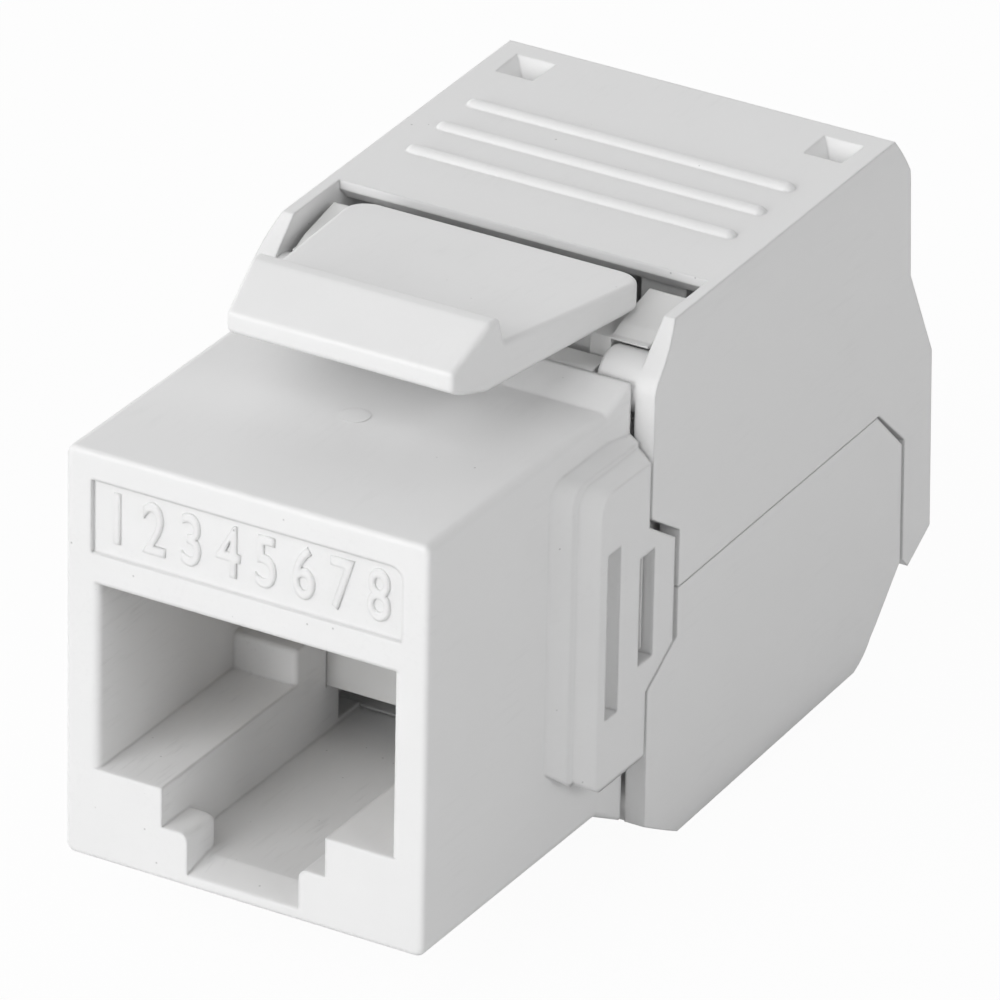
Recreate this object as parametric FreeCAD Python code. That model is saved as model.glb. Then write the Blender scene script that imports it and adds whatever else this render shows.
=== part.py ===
"""Tool-free keystone jack: front housing with plug port, flexing release latch, spring contacts,
circuit board, terminal block with insulation-displacement forks, and two covers hinged at the front.

Building frame: X across (right seen from the front), Y rearwards from the front face, Z up from the
underside of the front housing.  At the end every piece moves so that the origin is at the middle of
the footprint, on the lowest level.  All sizes are in millimetres.
"""
import FreeCAD, Part
import math
import os

V = FreeCAD.Vector

# ---------------------------------------------------------------- driving dimensions
# front housing
body_width = 14.5
body_height = 15.9
body_depth = 13.3            # front face to its rear end, just before the covers
body_corner = 0.35           # rounding of the long edges
front_corner = 0.2           # rounding of the front edges
flare_length = 1.4           # rear end of the housing that widens
flare_side = 0.17
flare_height = 0.68
flare_corner = 0.15

# plug port, levels above the underside
port_width = 11.8
port_ceiling = 10.85
shoulder_level = 3.6
port_edge_round = 0.3        # of its upright front edges
tab_slot_width = 6.6
tab_slot_floor = 0.8
tab_slot_mouth = 0.5
tab_ramp_length = 1.3
tab_stop_gap = 4.5
tab_stop_level = 2.08
tab_stop_depth = 2.0
tab_stop_round = 0.35
rear_block_depth = 2.05
rear_block_height = 1.4
rear_block_round = 0.2

# label recess
label_margin_side = 1.05
label_margin_top = 1.1
label_height = 2.8
label_depth = 0.15
label_round = 0.5

# rear pocket of the housing, and the core above the port
pocket_wall_side = 0.8
pocket_wall_top = 1.0
core_front_wall = 2.0
core_wall_below = 1.05       # between the port and the core
core_wall_side = 1.65

# gate mark and fixed lug
gate_mark_y = 7.15
gate_mark_radius = 0.55
gate_mark_height = 0.02
lug_half_width = 4.5
lug_front = 6.2
lug_rear = 8.4
lug_drop = 1.3
lug_land = 0.5

# side flanges: lengths before the housing's rear end, heights below and above mid height
plate_step = 0.525           # sideways from the housing
plate_length = 5.2           # of the lower step where it leaves the housing
plate_below = 4.6
plate_above = 6.77
rim_length = 4.49            # of its rim
rim_below = 5.2
rim_above = 6.4
step_length = 4.1            # of the upper step where it leaves the lower one
step_below = 5.3
step_above = 6.21
face_length = 3.35           # of the outer face
face_below = 5.8
face_above = 5.75
flange_round_top = 0.8
flange_round_bottom = 0.3
tongue_length = 1.85         # behind the housing's rear end
tongue_half_height = 2.05    # of its upright rear edge
tongue_root_half = 3.22      # where its slants meet the flange
slot_one_front = 2.85        # before the housing's rear end
slot_one_width = 0.85
slot_one_below = 3.1
slot_one_above = 3.35
slot_one_depth = 0.6
slot_two_front = 0.6
slot_two_width = 1.0
slot_two_below = 1.95
slot_two_above = 2.25

# covers
cover_gap = 0.15             # behind the housing
cover_overhang = 1.05        # sideways past the housing
cover_wall = 0.8
roof_wall = 0.9
top_over = 2.355             # top face above the housing's top, at the covers' front
top_rise = 0.029             # for each millimetre rearwards
bottom_under = 2.56          # bottom face below the housing's underside, at the covers' front
bottom_rise = 0.0445
shoulder_in = 0.35           # long soft shoulder between each side and the top or bottom
shoulder_drop = 1.6
arm_top_start = 1.9          # lengths from here on are behind the covers' front
roof_front = 5.0
roof_lip = 0.35              # height of the roof's front edge, which slants back below it
rear_top = 17.65
rear_shoulder = (18.27, 1.6)         # above the housing's top
rear_waist = (18.55, 5.25)           # above mid height
rear_skirt_top = (20.4, 1.5)         # above mid height
rear_skirt_bottom = (20.75, 2.2)     # above the housing's underside
rear_skirt_inner = (19.15, 1.2)      # above the housing's underside
seam_front = -0.12                   # above mid height, at the covers' front
seam_rear = (16.5, 0.45)             # above mid height
seam_gap = 0.05
slit_bend = (18.55, -1.35)           # above mid height
slit_foot = (18.73, 1.65)            # above the housing's underside
slit_gap = 0.2
lower_knee = (16.5, -0.55)           # above the housing's underside
lower_back_foot = 15.95
lower_front_bottom = -0.75           # above the housing's underside
lower_chamfer_end = 3.05
notch_gap = 0.3              # round the tongue of the flange
notch_gap_lower = 0.12
cable_radius = 4.1
cable_mouth_radius = 4.7     # through the skirt, where the cable leaves
cable_rise = 0.35            # above mid height
rib_start = 8.35
rib_pitch = 2.1
rib_count = 3
rib_margin = 1.9             # from the sides
rib_radius = 0.34
rib_height = 0.2
dimple_margin_side = 1.95
dimple_back = 16.0
dimple_size = 1.6
dimple_foot = 0.24           # width of its small flat bottom
dimple_depth = 0.85

# hinges of the covers
hinge_over = 0.1             # above the housing's top, and below its underside
pin_radius = 1.1             # the arms are rounded alike about the same axis
pin_reach = 1.65             # inside the arms
pin_round = 0.2
pin_clearance = 0.1

# latch: heights above the housing's top
latch_nose_y = 6.0
latch_nose_half = 4.53
latch_nose_bottom = 2.55
latch_nose_top = 3.25
latch_nose_undercut = 0.4    # where the underside begins to slope
latch_nose_lip = 0.25
latch_hook_y = 8.1
latch_hook_land = 0.55
latch_hook_level = 4.4
latch_hook_step = 0.25       # run of the slope behind the hook
latch_plate_front_level = 3.4
latch_plate_rear_level = 2.8
latch_underside = 1.9
latch_underside_start = 7.9
latch_side_gap = 1.64        # from the arms, at its rear end
latch_rear_corner = 0.95
latch_edge_round = 0.2
latch_plate_length = 3.55    # behind the covers' front
latch_stem_half = 4.8
latch_stem_front = 1.7       # behind the covers' front
latch_stem_thickness = 0.9
latch_foot_drop = 2.1        # below the housing's top
latch_root_gap = 0.1
latch_swing_gap = 0.45

# contact carrier, contacts and circuit board
carrier_thickness = 1.05
carrier_bottom = 2.7
ledge_length = 0.9           # of the housing's ledges under the carrier
board_thickness = 1.0
board_bottom = 3.0
board_gap = 0.1
board_rear_gap = 0.15
fit_gap = 0.05
contact_count = 8
contact_pitch = 1.02
contact_width = 0.45
contact_thickness = 0.3
contact_path = (             # behind the port's rear end, and below its ceiling
    (0.65, 0.7), (-0.4, 0.85), (-4.5, 2.7), (-5.5, 2.7), (-7.1, 1.75), (-7.7, 1.65))
contact_slot_gap = 0.14
contact_slot_drop = 1.75     # below the port's ceiling
contact_slot_web = 0.2       # left of the carrier behind the slots

# terminal block: lengths behind its front, heights from mid height
block_gap = 0.3              # from the side walls of the covers
block_length = 12.15
block_half_height = 4.95
tower_length = 4.15
tower_step = 1.05            # below the housing's top
cross_bar_gap = 0.12         # from the hinge pins
cross_bar_depth = 1.35
cross_bar_over = 0.6         # above the housing's top
cross_bar_round = 0.25
ear_gap = 0.2                # inside of the pins' inner ends
ear_front = (1.6, 1.35)      # behind the block's front, above the housing's top
ear_knee = (2.15, 1.6)
ear_upper_rear = 2.05        # above the housing's top
ear_lower_rear = 0.95        # below the housing's underside
recess_half_width = 4.5      # in the block's front, behind the port's tab slot
recess_length = 3.0
divider_length = 2.6
divider_wall = 0.9
divider_margin = 1.0
catch_step = 0.4             # short of the flange's face
catch_margin = 0.2
catch_land = 0.1

# terminals and their guide posts
terminals_per_side = 4
terminal_place_y = 7.75      # behind the block's front
terminal_thickness = 0.4
terminal_tip = 7.3
terminal_root = 3.4
terminal_slot = 0.36
terminal_slot_root = 5.5
terminal_corner = 0.4
terminal_lead = 0.5
terminal_lead_height = 0.7
terminal_tail_width = 0.6
terminal_tail_height = 0.6
terminal_tail_inset = 0.1    # behind the board's front face
terminal_slide = 0.02
post_front = 4.85
post_rear = 11.35
post_wall = 0.95
post_tip = 7.5
post_point = 0.6
groove_depth = 0.22
presser_depth = 0.6
presser_front_gap = 0.7
presser_rear_gap = 0.8
presser_reach = 5.55         # tip from mid height
presser_side_gap = 0.3

# how features of one piece run into each other, and how far cutting tools overshoot
root = 0.5
past = 1.0
far = 60.0                   # longer than the whole jack
near = 0.01                  # places closer than this count as one

# ---------------------------------------------------------------- values that follow
mid_height = body_height / 2
corner_cut = 1 - math.sqrt(0.5)      # share of its radius that a rounded corner draws in
body_half = body_width / 2
port_half = port_width / 2
port_depth = body_depth - (fit_gap + carrier_thickness + board_gap + board_thickness + board_rear_gap)
tab_half = tab_slot_width / 2
label_top = body_height - label_margin_top
label_bottom = label_top - label_height
core_floor = port_ceiling + core_wall_below
core_side = body_half - core_wall_side
pocket_half = body_half - pocket_wall_side
pocket_bottom = pocket_wall_top
pocket_top = body_height - pocket_wall_top
plate_side = body_half + plate_step
cover_front = body_depth + cover_gap
cover_side = body_half + cover_overhang
cover_inner = cover_side - cover_wall
cable_level = mid_height + cable_rise
hinge_y = cover_front + pin_radius
hinge_level = body_height + hinge_over
pin_inner_end = cover_inner - pin_reach
carrier_front = port_depth + fit_gap
carrier_rear = carrier_front + carrier_thickness
board_front = carrier_rear + board_gap
board_rear = board_front + board_thickness
block_front = cover_front
block_side = cover_inner - block_gap
block_rear = block_front + block_length
tower_rear = block_front + tower_length
tower_top = body_height - tower_step
cross_bar_top = body_height + cross_bar_over
cross_bar_side = pin_inner_end - cross_bar_gap
terminal_pitch = (2 * block_side - post_wall) / terminals_per_side
terminal_y = block_front + terminal_place_y


# ---------------------------------------------------------------- building blocks
def box(x0, x1, y0, y1, z0, z1):
    return Part.makeBox(x1 - x0, y1 - y0, z1 - z0, V(x0, y0, z0))


def prism(corners, direction):
    """Solid from a closed polygon of points, swept along a direction."""
    return Part.Face(Part.makePolygon(list(corners) + [corners[0]])).extrude(direction)


def side_prism(outline, x0, x1):
    """Outline of (y, z) pairs, from x0 to x1."""
    return prism([V(x0, y, z) for y, z in outline], V(x1 - x0, 0, 0))


def front_prism(outline, y0, y1):
    """Outline of (x, z) pairs, from y0 to y1."""
    return prism([V(x, y0, z) for x, z in outline], V(0, y1 - y0, 0))


def plan_prism(outline, z0, z1):
    """Outline of (x, y) pairs, from z0 to z1."""
    return prism([V(x, y, z0) for x, y in outline], V(0, 0, z1 - z0))


def rod(y, z, radius, x0, x1):
    return Part.makeCylinder(radius, x1 - x0, V(x0, y, z), V(1, 0, 0))


def other_side(shape):
    return shape.mirror(V(0, 0, 0), V(1, 0, 0))


def upside_down(shape):
    return shape.mirror(V(0, 0, mid_height), V(0, 0, 1))


def joined(first, *others):
    return first.fuse(list(others)).removeSplitter()


def round_edges(shape, radius, wanted):
    """Fillet the edges whose middle point and direction pass the test."""
    picked = []
    for edge in shape.Edges:
        first, last = edge.Vertexes[0].Point, edge.Vertexes[-1].Point
        if wanted(edge.CenterOfMass, last - first):
            picked.append(edge)
    return shape.makeFillet(radius, picked)


def rounded_frame(y, half, z0, z1, radius):
    """Closed wire of a rectangle with round corners, in the plane at y."""
    slant = radius * corner_cut
    edges = []
    corners = [(half, z0, -1, 1), (half, z1, -1, -1), (-half, z1, 1, -1), (-half, z0, 1, 1)]
    starts = []
    for number, (x, z, dx, dz) in enumerate(corners):
        along_z = V(x, y, z + dz * radius)
        along_x = V(x + dx * radius, y, z)
        pair = (along_x, along_z) if number % 2 == 0 else (along_z, along_x)
        edges.append(Part.Arc(pair[0], V(x + dx * slant, y, z + dz * slant), pair[1]).toShape())
        starts.append(pair)
    for here, following in zip(starts, starts[1:] + starts[:1]):
        edges.append(Part.makeLine(here[1], following[0]))
    return Part.Wire(Part.__sortEdges__(edges))


def flange_frame(x, length, below, above):
    """Closed wire of one level of the side flange in the plane at x, its two front corners rounded."""
    y0, y1 = body_depth - length, body_depth
    z0, z1 = mid_height - below, mid_height + above
    low, high = V(x, y0, z0 + flange_round_bottom), V(x, y0, z1 - flange_round_top)
    top, bottom = V(x, y0 + flange_round_top, z1), V(x, y0 + flange_round_bottom, z0)
    high_middle = V(x, y0 + flange_round_top * corner_cut, z1 - flange_round_top * corner_cut)
    low_middle = V(x, y0 + flange_round_bottom * corner_cut, z0 + flange_round_bottom * corner_cut)
    edges = [
        Part.makeLine(low, high),
        Part.Arc(high, high_middle, top).toShape(),
        Part.makeLine(top, V(x, y1, z1)),
        Part.makeLine(V(x, y1, z1), V(x, y1, z0)),
        Part.makeLine(V(x, y1, z0), bottom),
        Part.Arc(bottom, low_middle, low).toShape(),
    ]
    return Part.Wire(edges)


def ribbon(path, thickness):
    """Outline of (y, z) pairs round a bent strip of even thickness."""
    left, right = [], []
    for number, (y, z) in enumerate(path):
        normals = []
        for first, last in ((number - 1, number), (number, number + 1)):
            if 0 <= first and last < len(path):
                dy, dz = path[last][0] - path[first][0], path[last][1] - path[first][1]
                length = math.hypot(dy, dz)
                normals.append((-dz / length, dy / length))
        ny, nz = sum(n[0] for n in normals), sum(n[1] for n in normals)
        scale = thickness / (ny * ny + nz * nz) * len(normals) / 2
        left.append((y + ny * scale, z + nz * scale))
        right.append((y - ny * scale, z - nz * scale))
    return left + right[::-1]


def top_at(y):
    """Height of the upper cover's top face."""
    return body_height + top_over + top_rise * (y - cover_front)


def bottom_at(y):
    """Height of the lower cover's bottom face."""
    return -bottom_under + bottom_rise * (y - cover_front)


def from_top(pair):
    """(y, z) of a place given behind the covers' front and above the housing's top."""
    return (cover_front + pair[0], body_height + pair[1])


def from_middle(pair):
    """(y, z) of a place given behind the covers' front and above mid height."""
    return (cover_front + pair[0], mid_height + pair[1])


def from_underside(pair):
    """(y, z) of a place given behind the covers' front and above the housing's underside."""
    return (cover_front + pair[0], pair[1])


# ---------------------------------------------------------------- front housing
def housing_shell():
    start = body_depth - flare_length
    front = Part.Face(rounded_frame(0, body_half, 0, body_height, body_corner)).extrude(V(0, start, 0))
    front = round_edges(front, front_corner, lambda middle, run: middle.y < near)
    flare = Part.makeLoft([
        rounded_frame(start, body_half, 0, body_height, body_corner),
        rounded_frame(body_depth, body_half + flare_side, -flare_height, body_height + flare_height,
                      flare_corner),
    ], True, True)
    return joined(front, flare)


def port_cut():
    main = box(-port_half, port_half, -past, port_depth, shoulder_level, port_ceiling)
    wide = port_half + port_edge_round
    mouth = box(-wide, wide, -past, port_edge_round, shoulder_level, port_ceiling)
    edge = Part.makeCylinder(port_edge_round, port_ceiling - shoulder_level,
                             V(wide, port_edge_round, shoulder_level))
    mouth = mouth.cut([edge, other_side(edge)])
    slot = side_prism([(-past, tab_slot_mouth), (0, tab_slot_mouth), (tab_ramp_length, tab_slot_floor),
                       (body_depth + past, tab_slot_floor), (body_depth + past, shoulder_level),
                       (-past, shoulder_level)], -tab_half, tab_half)
    return joined(main, mouth, slot)


def tab_stop():
    inner = tab_stop_gap / 2
    stop = box(inner, tab_half + root, 0, tab_stop_depth, tab_slot_mouth - root / 2, tab_stop_level)
    return round_edges(stop, tab_stop_round, lambda middle, run: (
        abs(middle.x - inner) < near and middle.y > near and middle.z > tab_slot_floor
        or middle.y > tab_stop_depth - near and middle.z > tab_stop_level - near))


def shoulder_block():
    front = port_depth - rear_block_depth
    block = box(tab_half, port_half + root, front, port_depth,
                shoulder_level - root, shoulder_level + rear_block_height)
    return round_edges(block, rear_block_round, lambda middle, run: (
        middle.y < front + near and middle.z > shoulder_level))


def label_cut():
    half = body_half - label_margin_side
    recess = box(-half, half, -past, label_depth, label_bottom, label_top)
    return round_edges(recess, label_round, lambda middle, run: (
        abs(run.y) > label_depth and middle.x > 0 and middle.z > label_top - near))


def flange():
    """Two bevelled steps and the tongue, on the right side of the housing, and the window through them."""
    foot = (plate_length, plate_below, plate_above)
    step_foot = (step_length, step_below, step_above)
    levels = [
        [flange_frame(body_half - root, *foot), flange_frame(body_half, *foot)],
        [flange_frame(body_half, *foot), flange_frame(plate_side, rim_length, rim_below, rim_above)],
        [flange_frame(plate_side, *step_foot), flange_frame(cover_side, face_length, face_below, face_above)],
    ]
    first, *others = [Part.makeLoft(pair, True, True) for pair in levels]
    tongue = side_prism(tongue_outline(0, 0), cover_inner, cover_side)
    front = body_depth - slot_one_front
    shallow = box(cover_side - slot_one_depth, cover_side + past, front, front + slot_one_width,
                  mid_height - slot_one_below, mid_height + slot_one_above)
    front = body_depth - slot_two_front
    window = box(body_half - past, cover_side + past, front, front + slot_two_width,
                 mid_height - slot_two_below, mid_height + slot_two_above)
    return joined(first, *others, tongue).cut(shallow), window


def tongue_outline(upper_gap, lower_gap):
    """Tongue seen from the side; the gaps grow it for the notch in the covers."""
    start = body_depth - past
    rear = body_depth + tongue_length + upper_gap
    slope = (tongue_root_half - tongue_half_height) / tongue_length
    lift = math.hypot(1, slope)
    high_root = mid_height + tongue_root_half + upper_gap * lift
    low_root = mid_height - tongue_root_half - lower_gap * lift
    rise = slope * (rear - body_depth)
    return [(start, low_root), (body_depth, low_root), (rear, low_root + rise),
            (rear, high_root - rise), (body_depth, high_root), (start, high_root)]


def fixed_lug():
    """Wedge under the housing that hooks behind the panel's lower edge."""
    return side_prism([(lug_front, root), (lug_front, 0), (lug_rear - lug_land, -lug_drop),
                       (lug_rear, -lug_drop), (lug_rear, root)], -lug_half_width, lug_half_width)


def front_housing():
    right, window = flange()
    mark = Part.makeCylinder(gate_mark_radius, gate_mark_height * 2,
                             V(0, gate_mark_y, body_height - gate_mark_height))
    body = joined(housing_shell(), right, other_side(right), fixed_lug(), mark)
    body = body.cut(joined(port_cut(), label_cut()))
    body = joined(body, tab_stop(), other_side(tab_stop()), shoulder_block(), other_side(shoulder_block()))
    pocket = box(-pocket_half, pocket_half, port_depth, body_depth + past, pocket_bottom, pocket_top)
    ledge = box(tab_half, pocket_half, port_depth, port_depth + ledge_length, pocket_bottom,
                carrier_bottom - fit_gap)
    pocket = pocket.cut([ledge, other_side(ledge)])
    core = box(-core_side, core_side, core_front_wall, port_depth + past, core_floor, pocket_top)
    return body.cut([pocket, core, window, other_side(window)]).removeSplitter()


# ---------------------------------------------------------------- latch
def latch_plan():
    """Face of the latch seen from above, its two rear corners rounded."""
    z = body_height
    rear, front = cover_front + latch_plate_length, latch_nose_y - past
    rear_half = cover_inner - latch_side_gap
    straight_half = rear_half - latch_rear_corner
    start = rear - latch_rear_corner
    inset = latch_rear_corner * corner_cut
    edges = [Part.makeLine(V(-latch_nose_half, front, z), V(latch_nose_half, front, z)),
             Part.makeLine(V(straight_half, rear, z), V(-straight_half, rear, z))]
    for side in (1, -1):
        nose_corner = V(side * latch_nose_half, latch_nose_y, z)
        before = V(side * rear_half, start, z)
        middle = V(side * (rear_half - inset), rear - inset, z)
        after = V(side * straight_half, rear, z)
        edges += [Part.makeLine(V(side * latch_nose_half, front, z), nose_corner),
                  Part.makeLine(nose_corner, before), Part.Arc(before, middle, after).toShape()]
    return Part.Face(Part.Wire(Part.__sortEdges__(edges)))


def latch_outline():
    """Latch seen from the side: blunt nose, slope up to the hook, step, and thin plate."""
    hook_rear = latch_hook_y + latch_hook_land
    rear = cover_front + latch_plate_length
    outline = [
        (latch_nose_y, latch_nose_bottom), (latch_nose_y, latch_nose_top), (latch_hook_y, latch_hook_level),
        (hook_rear, latch_hook_level), (hook_rear + latch_hook_step, latch_plate_front_level),
        (rear, latch_plate_rear_level), (rear, latch_underside), (latch_underside_start, latch_underside),
        (latch_nose_y + latch_nose_undercut, latch_nose_bottom - latch_nose_lip)]
    return [(y, body_height + z) for y, z in outline]


def stem_box(gap, swing, top):
    """Upright root of the latch; gaps grow it for its seat in the terminal block."""
    half, front = latch_stem_half + gap, cover_front + latch_stem_front
    return box(-half, half, front - gap, front + latch_stem_thickness + swing,
               body_height - latch_foot_drop - gap, top)


def release_latch():
    plate = side_prism(latch_outline(), -far, far)
    plate = plate.common(latch_plan().extrude(V(0, 0, latch_hook_level + past)))
    plate = round_edges(plate, latch_edge_round, lambda middle, run: (
        middle.z > body_height + latch_underside + latch_edge_round))
    return joined(plate, stem_box(0, 0, body_height + latch_underside + root / 2))


# ---------------------------------------------------------------- carrier, contacts, board
def contact_place(number):
    return (number - (contact_count - 1) / 2) * contact_pitch


def contact(number):
    middle = contact_place(number)
    half = contact_width / 2
    path = [(port_depth + y, port_ceiling - drop) for y, drop in contact_path]
    return side_prism(ribbon(path, contact_thickness), middle - half, middle + half)


def contact_carrier():
    half = pocket_half - fit_gap
    plate = box(-half, half, carrier_front, carrier_rear, carrier_bottom, pocket_top - fit_gap)
    nose = box(-core_side + fit_gap, core_side - fit_gap, core_front_wall + past, carrier_rear,
               core_floor + fit_gap, pocket_top - fit_gap)
    carrier = joined(plate, nose)
    slots = []
    for number in range(contact_count):
        middle = contact_place(number)
        reach = contact_width / 2 + contact_slot_gap
        slots.append(box(middle - reach, middle + reach, carrier_front - past,
                         carrier_rear - contact_slot_web, port_ceiling - contact_slot_drop, port_ceiling))
    return carrier.cut(slots)


def terminal_place(number):
    return (number - (terminals_per_side - 1) / 2) * terminal_pitch


def tail_box(number, gap):
    """Tail of an upper terminal, running forward to the circuit board."""
    middle = terminal_place(number)
    half = terminal_tail_width / 2 + gap
    low = mid_height + terminal_root
    return box(middle - half, middle + half, board_front + terminal_tail_inset,
               terminal_y + terminal_thickness / 2, low - gap, low + terminal_tail_height + gap)


def circuit_board():
    gap = 2 * fit_gap
    board = box(gap - pocket_half, pocket_half - gap, board_front, board_rear,
                board_bottom, pocket_top - gap)
    holes = []
    for number in range(terminals_per_side):
        hole = tail_box(number, fit_gap)
        hole = joined(hole, hole.translated(V(0, -board_thickness, 0)))
        holes += [hole, upside_down(hole)]
    return board.cut(holes)


# ---------------------------------------------------------------- terminals
def channel_half():
    return (terminal_pitch - post_wall) / 2


def upper_terminal(number):
    """Fork whose slot takes a wire pressed down from above, with its tail."""
    middle = terminal_place(number)
    half = channel_half() + groove_depth
    slit = terminal_slot / 2
    tip, foot = mid_height + terminal_tip, mid_height + terminal_root
    lead = tip - terminal_lead_height
    right = [(half, foot), (half, tip - terminal_corner), (half - terminal_corner, tip),
             (slit + terminal_lead, tip), (slit, lead), (slit, mid_height + terminal_slot_root)]
    fork = right + [(-x, z) for x, z in reversed(right)]
    y0 = terminal_y - terminal_thickness / 2
    blade = front_prism([(middle + x, z) for x, z in fork], y0, y0 + terminal_thickness)
    return joined(blade, tail_box(number, 0))


# ---------------------------------------------------------------- terminal block
def upper_posts():
    """Pointed guide posts between the wire channels of the upper row."""
    shapes = []
    base, tip = mid_height + block_half_height - root, mid_height + post_tip
    for number in range(terminals_per_side + 1):
        middle = terminal_place(number - 0.5)
        left, right = max(middle - post_wall / 2, -block_side), min(middle + post_wall / 2, block_side)
        peak = (left + right) / 2
        outline = [(left, base), (right, base), (right, tip - post_point), (peak, tip),
                   (left, tip - post_point)]
        shapes.append(front_prism(outline, block_front + post_front, block_front + post_rear))
    return shapes


def upper_grooves():
    """Room for the upper forks and their tails."""
    tools = []
    for number in range(terminals_per_side):
        middle = terminal_place(number)
        half = channel_half() + groove_depth + terminal_slide
        reach = terminal_thickness / 2 + terminal_slide
        tools.append(box(middle - half, middle + half, terminal_y - reach, terminal_y + reach,
                         mid_height + terminal_root - terminal_slide, mid_height + post_tip + past))
        tools.append(tail_box(number, terminal_slide))
    return tools


def upper_hinge_seat(rear_over):
    """Tower, cross bar between the hinge pins and an ear behind each pin, for one cover."""
    tower = box(-block_side, block_side, block_front, tower_rear,
                mid_height + block_half_height - root, tower_top)
    bar = box(-cross_bar_side, cross_bar_side, block_front, block_front + cross_bar_depth,
              tower_top - root, cross_bar_top)
    bar = round_edges(bar, cross_bar_round, lambda middle, run: (
        abs(run.x) > cross_bar_side and middle.z > tower_top))
    rear_level = body_height + rear_over
    front, knee = from_top(ear_front), from_top(ear_knee)
    ear = side_prism([(front[0], tower_top - root), (front[0], min(front[1], rear_level)),
                      (knee[0], min(knee[1], rear_level)), (tower_rear, rear_level),
                      (tower_rear, tower_top - root)], pin_inner_end - ear_gap, block_side)
    shelf = box(latch_stem_half + latch_root_gap, block_side, block_front + cross_bar_depth, tower_rear,
                tower_top - root, min(front[1], rear_level))
    bore = rod(hinge_y, hinge_level, pin_radius + pin_clearance, cross_bar_side, block_side + past)
    ear = joined(ear, shelf).cut(bore)
    return joined(tower, bar, ear, other_side(ear))


def terminal_block():
    core = box(-block_side, block_side, block_front, block_rear, mid_height - block_half_height,
               mid_height + block_half_height)
    rear = block_rear + divider_length
    upright = box(-divider_wall / 2, divider_wall / 2, block_rear - root, rear,
                  mid_height - block_half_height, mid_height + block_half_height)
    level = box(divider_margin - block_side, block_side - divider_margin, block_rear - root, rear,
                mid_height - divider_wall / 2, mid_height + divider_wall / 2)
    end = body_depth - slot_two_front + slot_two_width - catch_land
    tip = cover_side - catch_step
    catch = plan_prism([(block_side - root, block_front), (block_side, block_front), (tip, end - catch_land),
                        (tip, end), (block_side - root, end)],
                       mid_height - slot_two_below + catch_margin, mid_height + slot_two_above - catch_margin)
    posts = upper_posts()
    body = joined(core, upright, level, catch, other_side(catch), upper_hinge_seat(ear_upper_rear),
                  upside_down(upper_hinge_seat(ear_lower_rear)), *posts, *[upside_down(p) for p in posts])
    tools = upper_grooves()
    slot = stem_box(latch_root_gap, latch_swing_gap, cross_bar_top + past)
    recess = box(-recess_half_width, recess_half_width, block_front - past, block_front + recess_length,
                 tab_slot_floor, mid_height - block_half_height)
    return body.cut(tools + [upside_down(t) for t in tools] + [slot, recess]).removeSplitter()


# ---------------------------------------------------------------- covers
def shoulder_section(z, up):
    """Cross-section of a cover at its front: upright sides with a soft shoulder each at level z."""
    y, side, edge = cover_front, cover_side, cover_side - shoulder_in
    start = z - up * shoulder_drop
    flank = V(side - shoulder_in / 4, y, z - up * shoulder_drop / 2)
    right = [Part.makeLine(V(side, y, z - up * far), V(side, y, start)),
             Part.Arc(V(side, y, start), flank, V(edge, y, z)).toShape(),
             Part.makeLine(V(edge, y, z), V(edge, y, z + up * past))]
    ends = [Part.makeLine(V(-edge, y, z + up * past), V(edge, y, z + up * past)),
            Part.makeLine(V(-side, y, z - up * far), V(side, y, z - up * far))]
    return Part.Face(Part.Wire(Part.__sortEdges__(right + [other_side(line) for line in right] + ends)))


def cover_body(shape, rise, section):
    """Gives a shape drawn from the side its shoulders, which run along the slope of its top or bottom."""
    length = rear_skirt_bottom[0] + past
    return shape.common(section.extrude(V(0, length, rise * length)))


def arm_nose(top_corner):
    """Where the arm's slanted front touches the circle about the upper hinge."""
    dy, dz = top_corner[0] - hinge_y, top_corner[1] - hinge_level
    turn = math.atan2(dz, dy) + math.acos(pin_radius / math.hypot(dy, dz))
    return (hinge_y + pin_radius * math.cos(turn), hinge_level + pin_radius * math.sin(turn))


def upper_outline():
    """Outer outline of the upper cover from the side, with its skirt behind the lower cover."""
    start, end = cover_front + arm_top_start, cover_front + rear_top
    top_corner = (start, top_at(start))
    seam_end, foot = from_middle(seam_rear), from_underside(slit_foot)
    return [
        (cover_front, mid_height + seam_front + seam_gap / 2), (cover_front, hinge_level),
        arm_nose(top_corner), top_corner, (end, top_at(end)),
        from_top(rear_shoulder), from_middle(rear_waist), from_middle(rear_skirt_top),
        from_underside(rear_skirt_bottom), from_underside(rear_skirt_inner),
        foot, from_middle(slit_bend), (seam_end[0], seam_end[1] + seam_gap / 2)]


def lower_outline():
    seam_end, bend, foot = from_middle(seam_rear), from_middle(slit_bend), from_underside(slit_foot)
    heel, chamfer = cover_front + lower_back_foot, cover_front + lower_chamfer_end
    return [
        (cover_front, mid_height + seam_front - seam_gap / 2),
        (seam_end[0] - slit_gap / 2, seam_end[1] - seam_gap / 2),
        (bend[0] - slit_gap, bend[1] - slit_gap / 2), (foot[0] - slit_gap, foot[1]),
        from_underside(lower_knee), (heel, bottom_at(heel)), (chamfer, bottom_at(chamfer)),
        (cover_front, lower_front_bottom)]


def pressers(roof):
    """Two rows of teeth that push the wires into the upper forks."""
    teeth = []
    y0 = terminal_y - terminal_thickness / 2 - presser_front_gap - presser_depth
    y1 = terminal_y + terminal_thickness / 2 + presser_rear_gap
    half = channel_half() - presser_side_gap
    for number in range(terminals_per_side):
        middle = terminal_place(number)
        for front in (y0, y1):
            teeth.append(box(middle - half, middle + half, front, front + presser_depth,
                             mid_height + presser_reach, roof))
    return teeth


def hinge_pins():
    pin = rod(hinge_y, hinge_level, pin_radius, pin_inner_end, cover_inner + cover_wall / 2)
    pin = round_edges(pin, pin_round, lambda middle, run: middle.x < pin_inner_end + near)
    return [pin, other_side(pin)]


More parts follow.
